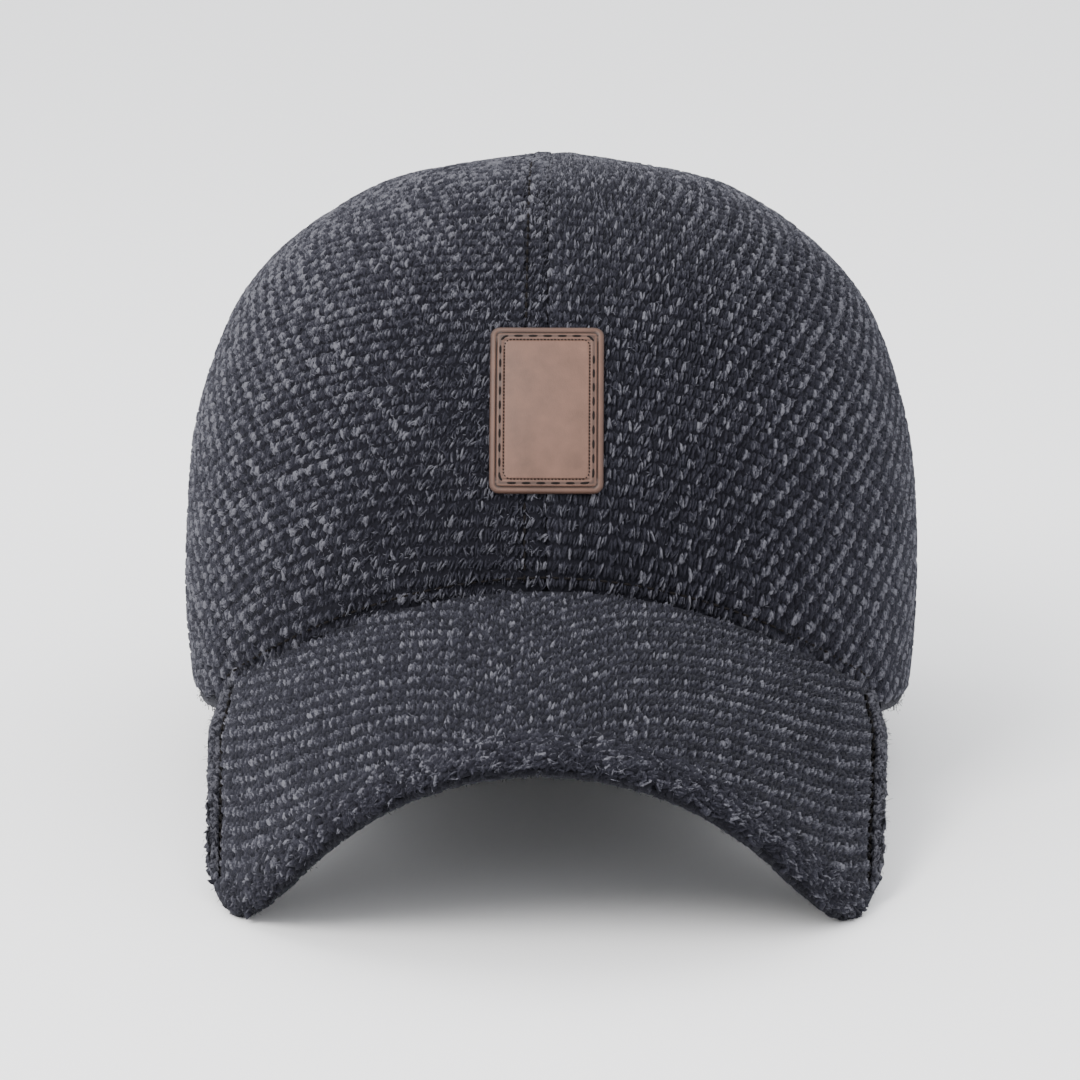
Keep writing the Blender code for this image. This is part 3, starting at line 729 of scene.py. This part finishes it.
def peak_upwards(share, out):
    share = np.clip(share, -NORMALS_WITHIN, NORMALS_WITHIN)
    out = np.minimum(out, NORMALS_WITHIN)
    step = 0.004
    left, right = np.maximum(share - step, -1.0), np.minimum(share + step, 1.0)
    near, far = np.maximum(out - step, 0.0), np.minimum(out + step, 1.0)
    across = peak_middle(right, out) - peak_middle(left, out)
    outwards = peak_middle(share, far) - peak_middle(share, near)
    return unit(np.cross(outwards, across))


def peak_at(share, out, offset):
    """Points off the middle of the peak by a share of half its thickness."""
    blend = np.minimum(out / ROOT_BLEND, 1.0)
    blend = (blend * blend * (3 - 2 * blend))[..., None]
    half = peak_root(share)[1] * (1 - blend) + peak_upwards(share, out) * PEAK_THICKNESS / 2 * blend
    return peak_middle(share, out) + half * offset[..., None]


def band_share(out):
    """Width of the strip along the side edge, as a share of the seam's half."""
    at_root = PEAK_SIDE_BAND / (peak_half * 1.25)
    at_corner = PEAK_SIDE_BAND / (peak_half * 1.15)
    return at_root + (at_corner - at_root) * out


def drawn_down(side):
    way = np.maximum((np.abs(side) - (1 - GROOVE_ROLL)) / GROOVE_ROLL, 0.0)
    return 1 - (1 - groove_edge) * way * way


def out_and_nose(steps, turns):
    """Shares of the way out to the front edge, and the height of the rounding there."""
    nose = PEAK_NOSE / PEAK_REACH
    out = np.linspace(0.0, 1 - nose, steps)
    turn = np.linspace(0.0, math.pi / 2, turns + 1)[1:]
    out = np.concatenate([out, 1 - nose * (1 - np.sin(turn))])
    return out, np.concatenate([np.ones(steps), np.cos(turn)])


def top_grid(columns, steps, turns):
    """The peak's top face between its grooves, from its seam to the middle of its front edge."""
    out, nose = out_and_nose(steps, turns)
    side, out = np.meshgrid(np.linspace(-1.0, 1.0, columns), out)
    height = np.maximum(np.minimum(nose[:, None], drawn_down(side)), edge_lip)
    return side, out, peak_at(side * (1 - band_share(out)), out, height)


def outward_of(points, facing=0):
    """Directions square to a grid, turned up where facing is 1 and down where it is -1."""
    down, over = np.gradient(points, axis=(0, 1))
    out = unit(np.cross(over, down))
    return -out if out[..., 2].mean() * facing < 0 else out


def measured_across(points):
    """Distances along each row of a grid, from its middle."""
    steps = np.linalg.norm(np.diff(points, axis=1), axis=2)
    across = np.concatenate([np.zeros((len(points), 1)), np.cumsum(steps, axis=1)], axis=1)
    return across - across[:, [across.shape[1] // 2]]


peak_top = Cloth()
rng = np.random.default_rng(41)
side, out, face = top_grid(96, 40, 8)
sunk = face - outward_of(face, 1) * BASE_DEPTH
under_face = peak_at(side * (1 - band_share(out)), out, np.full(out.shape, GAP / PEAK_THICKNESS))
peak_top.grid(sunk, GROUND_PAINTED_SHADE, flip=True)
peak_top.grid(under_face, GROUND_PAINTED_SHADE)
peak_top.grid(np.stack([under_face[0], sunk[0]]), PEAK_RIM_SHADE, flip=True)
peak_top.grid(np.stack([sunk[-1], under_face[-1]]), PEAK_RIM_SHADE, flip=True)
peak_top.grid(np.stack([sunk[:, 0], under_face[:, 0]]), PEAK_RIM_SHADE)
peak_top.grid(np.stack([under_face[:, -1], sunk[:, -1]]), PEAK_RIM_SHADE)
side, out, face = top_grid(640, 340, 40)
outwards = outward_of(face, 1)
bow = ROW_BOW * (1 - np.cos(math.pi * np.abs(face[..., 0]) / ROW_BOW_HALF))
along = (face[..., 1] + bow) * ALONG_PEAK
keep = (np.abs(side) < STITCHED_WIDTH) & (out > 0.012) & (out < STITCHED_REACH)
ground = face - outwards * BASE_DEPTH
across = measured_across(face)
laid = lay_stitches(ground[:, ::-1], across[:, ::-1], along[:, ::-1], keep[:, ::-1], 1)
# the top's stitches are painted darker, as painted shade
tones = add_stitches(peak_top, rng, laid, contrast=1.15, bright=PEAK_PAINTED_SHADE, flat=0.8)
tops = laid[0] + laid[1] * YARN_TOP
add_hairs(peak_top, rng, tops, laid[1], laid[2], tones, 4200, PEAK_HAIRS, 0.3)


def add_boucle(cloth, rng, face, outwards, keep, count, bright, rise, heading=1.25):
    """Loose curls, where the knit is stretched over an edge. rise is the height of the tallest,
    and heading their turn away from the knit's columns."""
    rows, columns = np.nonzero(keep)
    down, over = np.gradient(face, axis=(0, 1))
    area = np.linalg.norm(np.cross(over, down), axis=-1)[rows, columns]
    picked = rng.choice(len(rows), count, p=area / area.sum())
    rows, columns = rows[picked], columns[picked]
    out = outwards[rows, columns]
    wale = unit(down[rows, columns])
    places = face[rows, columns] - out * BASE_DEPTH
    half_long = rng.uniform(*CURL_HALF_LENGTHS, count)
    half_wide = rng.uniform(*CURL_HALF_WIDTHS, count)
    sizes = np.stack([half_long, half_wide, rng.uniform(LOWEST_CURL, rise, count)], axis=-1)
    tone = np.clip(rng.lognormal(math.log(bright), 0.55, count), 0.04, 1.0)
    bend = rng.normal(0, CURL_BEND, count)
    add_strands(cloth, places, out, wale, sizes, rng.normal(heading, 0.5, count), bend, tone)
    tips = places + out * YARN_TOP
    add_hairs(cloth, rng, tips, out, wale, tone, count // 2, CURL_HAIRS, 0.5)


rolled = (out >= ROLL_STARTS) & (np.abs(side) < 0.975)
add_boucle(peak_top, rng, face, outwards, rolled, count=3000, bright=0.31, rise=0.0016)
peak_cover = peak_top.made("knit_peak_top", knit_wool)
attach(peak_cover, "root")
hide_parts("peak_top")


# Under layer of the peak: the same knit, painted a shade darker as painted shade under the peak.
# It lies flat under the board, and turns up round each side edge as far as the groove.
STRIP_TONE = 0.25
# painted shade: the under layer's wool is a darker copy of the top's knit
shaded_under_wool = wool(
    "shaded_under_wool", (0.0009, 0.0009, 0.0028), (0.0135, 0.0135, 0.0195), (0.080, 0.080, 0.094)
)


def side_profile(steps):
    """Shares of the side strip from its groove to the edge, and the height of its top there."""
    rounding = PEAK_THICKNESS / 2 / PEAK_SIDE_BAND
    start = 2 * GAP / PEAK_SIDE_BAND
    flat = np.linspace(start, 1 - rounding, steps)
    rise = groove_edge + (1 - groove_edge) * np.sin(np.linspace(0.0, math.pi / 2, steps)) ** 0.8
    turn = np.linspace(0.0, math.pi / 2, steps + 1)[1:]
    way = np.concatenate([flat, 1 - rounding * (1 - np.sin(turn))])
    return way, np.concatenate([rise, np.cos(turn)])


def under_grids(columns, strip_steps, steps, turns):
    """The under layer's lower face across the whole peak, and its two strips on the top."""
    out_line, nose = out_and_nose(steps, turns)
    nose = nose[:, None]
    way, level = side_profile(strip_steps)
    strips = []
    for sign in (-1, 1):
        ways, out = np.meshgrid(way, out_line)
        width = band_share(out)
        share = sign * (1 - width + ways * width)
        strips.append((ways, out, peak_at(share, out, np.minimum(nose, level))))
    across = np.concatenate([-way[::-1], np.zeros(columns), way])
    ends = np.ones(len(way))
    flat_side = np.concatenate([-ends, np.linspace(-1.0, 1.0, columns), ends])
    depth = np.concatenate([level[::-1], np.ones(columns), level])
    depth = np.where(np.abs(across) > 0.5, depth, 1.0)
    sides, out = np.meshgrid(flat_side, out_line)
    width = band_share(out)
    share = sides * (1 - width) + across * width
    return strips, (share, out, peak_at(share, out, -np.minimum(nose, depth)))


rng = np.random.default_rng(52)
peak_under = Cloth()
strips, (share, out, low) = under_grids(80, 8, 36, 8)
peak_under.grid(low - outward_of(low, -1) * BASE_DEPTH, GROUND_PAINTED_SHADE)
mid_way = peak_at(share * 0.995, out, np.full(out.shape, -GAP / PEAK_THICKNESS))
peak_under.grid(mid_way[:, 16:-16], PEAK_RIM_SHADE, flip=True)
for sign, (ways, way_out, strip) in zip((-1, 1), strips):
    sunk = strip - outward_of(strip, 1) * BASE_DEPTH * 0.8
    peak_under.grid(sunk, STRIP_TONE, flip=sign < 0)
strips, (share, out, low) = under_grids(560, 40, 300, 36)
facing = outward_of(low, -1)
ground = low - facing * BASE_DEPTH
keep = (out > 0.02) & (out < STITCHED_REACH)
laid = lay_stitches(ground, measured_across(low), low[..., 1] * ALONG_PEAK, keep, -1)
# painted shade: the under layer's stitches are painted darker still
tones = add_stitches(peak_under, rng, laid, contrast=0.8, bright=PEAK_PAINTED_SHADE * 0.8, flat=0.72)
add_hairs(peak_under, rng, laid[0], laid[1], laid[2], tones, 2500, PEAK_HAIRS, 0.4)
rolled = out >= ROLL_STARTS
# painted shade: the curls under the front edge are painted nearly black
add_boucle(peak_under, rng, low, facing, rolled, count=2400, bright=0.09, rise=0.0013)
for ways, way_out, strip in strips:
    facing = outward_of(strip, 1)
    # bare where the groove's thread lies
    curled = (way_out > 0.01) & (ways > 0.16)
    add_boucle(peak_under, rng, strip, facing, curled, 1100, 0.80, 0.0009, heading=0.15)
peak_lining = peak_under.made("knit_peak_under", shaded_under_wool)
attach(peak_lining, "root")
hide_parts("peak_under")


# Ear flap: one band of thick brushed fleece, folded up inside the crown from one end of the
# peak round the back to the other. Only its fold shows under the hem.
FLAP_THICKNESS = 0.0032
FLAP_HEIGHT = 0.060
FLAP_START_BEHIND_PEAK = 0.006
# share of the way from a front end to the middle of the back, height
FLAP_HEIGHTS = [
    (0.00, 0.40),
    (0.10, 0.72),
    (0.25, 0.98),
    (0.40, 1.00),
    (0.60, 0.86),
    (0.80, 0.74),
    (1.00, 0.70),
]
# distance in from the crown's outer face: shares of the wall, and of the flap's thickness past
# it. height: shares of the fold, and of what stands above the fold
FLAP_SECTION = [
    (0.30, 0.00, 0.90, 0.00),
    (0.16, 0.00, 0.52, 0.00),
    (0.32, 0.00, 0.16, 0.00),
    (0.72, 0.00, 0.00, 0.00),
    (1.00, 0.40, 0.00, 0.00),
    (1.00, 0.84, 0.20, 0.00),
    (1.00, 1.00, 0.62, 0.00),
    *((1.00, 1.00, 1.00, above) for above in (0.16, 0.33, 0.50, 0.66, 0.82)),
    (1.00, 0.97, 1.00, 0.96),
    (1.00, 0.72, 1.00, 1.00),
    (1.00, 0.28, 1.00, 1.00),
    *((1.00, 0.00, 1.00, above) for above in (0.96, 0.66, 0.33, 0.00)),
    (0.62, 0.00, 1.00, 0.00),
]
FLAP_SHADE = 0.30
FLAP_HAIRS = (0.0006, 0.0014)
FLAP_HAIR_THICK = 0.00009
fleece = wool("fleece", (0.002, 0.002, 0.0035), (0.008, 0.008, 0.012), (0.030, 0.030, 0.038), 0.06)

flap_start = SEAM_END + FLAP_START_BEHIND_PEAK / half_width
flap_tall = curve_through(FLAP_HEIGHTS)
flap_share = np.linspace(-1.0, 1.0, 181)
flap_angle = math.pi + flap_share * (math.pi - flap_start)
tall = FLAP_HEIGHT * np.interp(1 - np.abs(flap_share), *flap_tall.T) - FOLD_SHOWS
rings = []
for wall, thick, fold, above in FLAP_SECTION:
    gap = GAP if wall == 1.0 else 0.0
    inwards = wall * CROWN_WALL + gap + thick * FLAP_THICKNESS
    rings.append(off_crown(flap_angle, fold * FOLD_SHOWS + above * tall, -inwards))
rings = np.stack(rings, axis=1)
ear_flap = Cloth()
ear_flap.grid(rings, FLAP_SHADE, closed=True, flip=True)
for end, flip in ((0, False), (-1, True)):
    ring = rings[end]
    middle = ring.mean(axis=0)
    cap = np.stack([np.broadcast_to(middle, ring.shape), ring])
    ear_flap.grid(cap, FLAP_SHADE, closed=True, flip=flip)
rng = np.random.default_rng(63)
facing = outward_of(rings)
centre = rings.mean(axis=1, keepdims=True)
facing = np.where(((rings - centre) * facing).sum(-1, keepdims=True) < 0, -facing, facing)
# the brushed face ends at the flap's top edge
shown = (slice(2, -2), slice(0, 14))
spots = rings[shown].reshape(-1, 3)
spots_out = facing[shown].reshape(-1, 3)
spots_up = unit(UP + rng.normal(0, 0.05, spots.shape))
spots = spots + rng.normal(0, 0.0003, spots.shape)
tones = rng.uniform(0.15, 0.7, len(spots))
add_hairs(ear_flap, rng, spots, spots_out, spots_up, tones, 9000, FLAP_HAIRS, 0.3, FLAP_HAIR_THICK)
flap_band = ear_flap.made("fleece_ear_flap", fleece)
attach(flap_band, "root")
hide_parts("ear_flap")


# Patch: a small plate of waxed leather, bare inside its border, bent to the crown across the
# front seam. Two lines are pressed in near its edge, with dark thread sewn between them and a
# row of fine dots on the inner one.
PATCH_THICKNESS = 0.0018
PATCH_CORNER = 0.0022
PATCH_EDGE = 0.0008
FRAME_IN = 0.0024
FRAME_WIDE = 0.0018
FINE_LINE_IN = 0.0033
LEATHER_DEEP = (0.072, 0.036, 0.024, 1.0)
LEATHER_PALE = (0.124, 0.063, 0.043, 1.0)
LEATHER_BURNT = (0.011, 0.0055, 0.0040, 1.0)
front_climbs = summed(np.hypot(*np.diff(sections[:, (0, 2)], axis=0).T))
patch_middle = np.interp(PATCH_CENTRE_HEIGHT, sections[:, 0], front_climbs)


def on_patch(x, z, outwards):
    """Points over the front of the crown, by distances across and up from the patch's middle."""
    climb = np.interp(patch_middle + z, front_climbs, climbs)
    angle = x / -crown_at(0.0 * x, climb)[..., 1]
    return crown_at(angle, climb) + crown_outwards(angle, climb) * outwards[..., None]


def inside_edge(x, z):
    """Distance in from the patch's rounded outline."""
    corner_x = np.maximum(np.abs(x) - (PATCH_WIDTH / 2 - PATCH_CORNER), 0.0)
    corner_z = np.maximum(np.abs(z) - (PATCH_HEIGHT / 2 - PATCH_CORNER), 0.0)
    straight = np.minimum(PATCH_WIDTH / 2 - np.abs(x), PATCH_HEIGHT / 2 - np.abs(z))
    rounded = PATCH_CORNER - np.hypot(corner_x, corner_z)
    return np.where((corner_x > 0) & (corner_z > 0), rounded, straight)


def pressed(depth_in, at, width, depth):
    """A line pressed in all round the patch, by its distance in from the edge."""
    return depth * np.exp(-(((depth_in - at) / width) ** 2))


outline = []
for turn, (side_x, side_z) in enumerate(((1, 1), (-1, 1), (-1, -1), (1, -1))):
    corner_x = side_x * (PATCH_WIDTH / 2 - PATCH_CORNER)
    corner_z = side_z * (PATCH_HEIGHT / 2 - PATCH_CORNER)
    for k in range(9):
        way = (turn + k / 8) * math.pi / 2
        x = corner_x + PATCH_CORNER * math.cos(way)
        outline.append((x, corner_z + PATCH_CORNER * math.sin(way)))
outline = np.array(outline)
closed = np.vstack([outline, outline[:1]])
walked = summed(np.hypot(*np.diff(closed, axis=0).T))
even = np.linspace(0.0, walked[-1], 241)[:-1]
outline = np.stack([np.interp(even, walked, closed[:, 0]), np.interp(even, walked, closed[:, 1])], -1)
plate = Cloth()


def inside_outline(inwards):
    """The patch's outline, drawn in by a distance from its edge."""
    return outline * (1 - 2 * inwards / np.array([PATCH_WIDTH, PATCH_HEIGHT]))


top = ON_CROWN + PATCH_THICKNESS
heights = [ON_CROWN, ON_CROWN + (PATCH_THICKNESS - PATCH_EDGE) * 0.5, top - PATCH_EDGE]
rows = [outline] * len(heights)
for turn in np.linspace(0.15, 1.0, 6) * math.pi / 2:
    rows.append(inside_outline(PATCH_EDGE * (1 - math.cos(turn))))
    heights.append(top - PATCH_EDGE + PATCH_EDGE * math.sin(turn))
edge_share = rows[-1][0] / outline[0]
shares = np.concatenate([np.linspace(edge_share[0], 0.70, 48)[1:], np.linspace(0.70, 0.0, 8)[1:]])
for share in shares:
    rows.append(outline * share)
    heights.append(top)
rows, heights = np.array(rows), np.array(heights)[:, None]
x, z = rows[..., 0], rows[..., 1]
depth_in = inside_edge(x, z)
grooves = pressed(depth_in, FRAME_IN - FRAME_WIDE / 2, 0.00020, 0.00042)
grooves = grooves + pressed(depth_in, FRAME_IN + FRAME_WIDE / 2, 0.00018, 0.00022)
heights = heights - np.where(depth_in > PATCH_EDGE, grooves, 0.0)
dark = pressed(depth_in, 0.0, 0.0009, 0.6) + pressed(depth_in, FRAME_IN, 0.00036, 0.75)
dark = np.clip(dark + grooves * 2500, 0.0, 1.0)
plate.grid(on_patch(x, z, heights), dark, closed=True)


def leather_of(name):
    """Satin leather: rubbed and uneven in colour, darker at its edge and in the pressed lines."""
    made, hide = painted(name, {"Specular IOR Level": 0.35})
    tree = made.node_tree
    place = {"Vector": node(tree, "ShaderNodeTexCoord").outputs["Object"]}
    grain = node(tree, "ShaderNodeTexVoronoi", feature="F1", Scale=2600.0, **place)
    rubbed = node(tree, "ShaderNodeTexNoise", Scale=160.0, Detail=5.0, Roughness=0.6, **place)
    fine = node(tree, "ShaderNodeTexNoise", Scale=4200.0, Detail=2.0, Roughness=0.6, **place)
    tone = node(tree, "ShaderNodeValToRGB", Fac=rubbed.outputs["Fac"])
    ramp = tone.color_ramp.elements
    ramp[0].position, ramp[0].color = 0.25, LEATHER_DEEP
    ramp[1].position, ramp[1].color = 0.78, LEATHER_PALE
    shade = node(tree, "ShaderNodeAttribute", attribute_name="shade")
    burnt = node(tree, "ShaderNodeMix", data_type="RGBA")
    burnt.inputs["B"].default_value = LEATHER_BURNT
    tree.links.new(shade.outputs["Fac"], burnt.inputs["Factor"])
    tree.links.new(tone.outputs["Color"], burnt.inputs["A"])
    tree.links.new(burnt.outputs["Result"], hide.inputs["Base Color"])
    rough = spread_out(tree, rubbed.outputs["Fac"], 0.42, 0.66)
    tree.links.new(rough, hide.inputs["Roughness"])
    height = both(tree, "ADD", grain.outputs["Distance"], fine.outputs["Fac"])
    bump = node(tree, "ShaderNodeBump", Strength=0.35, Distance=0.00006, Height=height)
    tree.links.new(bump.outputs["Normal"], hide.inputs["Normal"])
    return made


patch = plate.made("leather_patch", leather_of("waxed_leather"))
patch.data.uv_layers.remove(patch.data.uv_layers["OFBake"])
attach(patch, "root")
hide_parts("label_patch")


# Sewing thread: dark dashes round the patch, beside the front seam, above the peak's seam and
# in the grooves of the peak. Each stitch is a short round length of thread pulled into the cloth.
# radius, length and space of the dashes, and how deep they lie
PATCH_DASHES = (0.00031, 0.0030, 0.0004, 0.0001)
PATCH_DOTS = (0.00014, 0.00050, 0.00030, 0.0)
SEAM_DASHES = (0.00028, 0.0019, 0.0009, 0.0)
GROOVE_DASHES = (0.00042, 0.0026, 0.0005, 0.0)


def add_thread(cloth, path, out, radius, dash, space, sink, shade):
    """Dashes of thread along a line of points, each thin and sunk at its ends."""
    walked = summed(np.linalg.norm(np.diff(path, axis=0), axis=1))
    starts = np.arange(space / 2, walked[-1] - dash, dash + space)
    turns = np.arange(6) / 6 * 2 * math.pi
    for begin in starts:
        along = begin + dash * np.array([0.0, 0.08, 0.3, 0.5, 0.7, 0.92, 1.0])
        swell = np.array([0.05, 0.75, 1.0, 1.0, 1.0, 0.75, 0.05])
        dive = np.array([-0.9, -0.3, 0.0, 0.08, 0.0, -0.3, -0.9]) * radius * 2
        here = np.stack([np.interp(along, walked, path[:, k]) for k in range(3)], axis=-1)
        up = unit(np.stack([np.interp(along, walked, out[:, k]) for k in range(3)], axis=-1))
        way = unit(np.gradient(here, axis=0))
        aside = unit(np.cross(way, up))
        here = here + up * (dive - sink)[:, None]
        ring = aside[:, None] * np.cos(turns)[:, None] + up[:, None] * np.sin(turns)[:, None]
        tube = here[:, None] + ring * (swell * radius)[:, None, None]
        cloth.grid(tube, shade, closed=True)


thread = Cloth()
around = np.arange(len(outline) + 1) % len(outline)
aside = inside_outline(FRAME_IN)[around, 0]
sewn_out = crown_outwards(aside / 0.1, np.full(len(around), climb_at(PATCH_CENTRE_HEIGHT)))
for inwards, dashes, shade in ((FRAME_IN, PATCH_DASHES, 0.4), (FINE_LINE_IN, PATCH_DOTS, 0.5)):
    x, z = inside_outline(inwards)[around].T
    add_thread(thread, on_patch(x, z, np.full(len(x), top)), sewn_out, *dashes, shade)


def crown_line(angle, height, outwards):
    """A line on the crown's dipped face."""
    climb = climb_at(height)
    level = crown_at(angle, climb)
    out = crown_outwards(angle, climb)
    return level + out * (outwards - crown_dip(level, angle, height))[:, None], out


# beside the front seam above the patch and below it: from, to, points, shade
seam_lines = [
    (PATCH_CENTRE_HEIGHT + PATCH_HEIGHT / 2 + 0.001, CROWN_HEIGHT * 0.985, 160, 0.35),
    (seam_height(0.0) + 0.001, PATCH_CENTRE_HEIGHT - PATCH_HEIGHT / 2 - 0.001, 60, 0.3),
]
for low, high, count, shade in seam_lines:
    rise = np.linspace(low, high, count)
    reach = np.maximum(-crown_at(0.0 * rise, climb_at(rise))[:, 1], 0.008)
    line, line_out = crown_line(-TOPSTITCH_ASIDE / reach, rise, TOPSTITCH_DEPTH)
    add_thread(thread, line, line_out, *SEAM_DASHES, shade)
turns = np.linspace(-SEAM_END * 0.97, SEAM_END * 0.97, 260)
line, line_out = crown_line(turns, seam_height(turns) + TOPSTITCH_UP, TOPSTITCH_DEPTH)
add_thread(thread, line, line_out, *SEAM_DASHES, shade=0.3)
for sign in (-1, 1):
    out = np.linspace(0.02, 0.93, 90)
    share = sign * (1 - band_share(out)) * 0.992
    line = peak_at(share, out, np.full(len(out), groove_edge + 0.03))
    add_thread(thread, line, peak_upwards(share, out), *GROOVE_DASHES, shade=0.1)
thread_tones = (0.0020, 0.0014, 0.0013), (0.0050, 0.0036, 0.0034), (0.014, 0.010, 0.009)
thread_paint = wool("sewing_thread", *thread_tones, sheen=0.0)
threads = thread.made("sewing_thread", thread_paint)
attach(threads, "root")
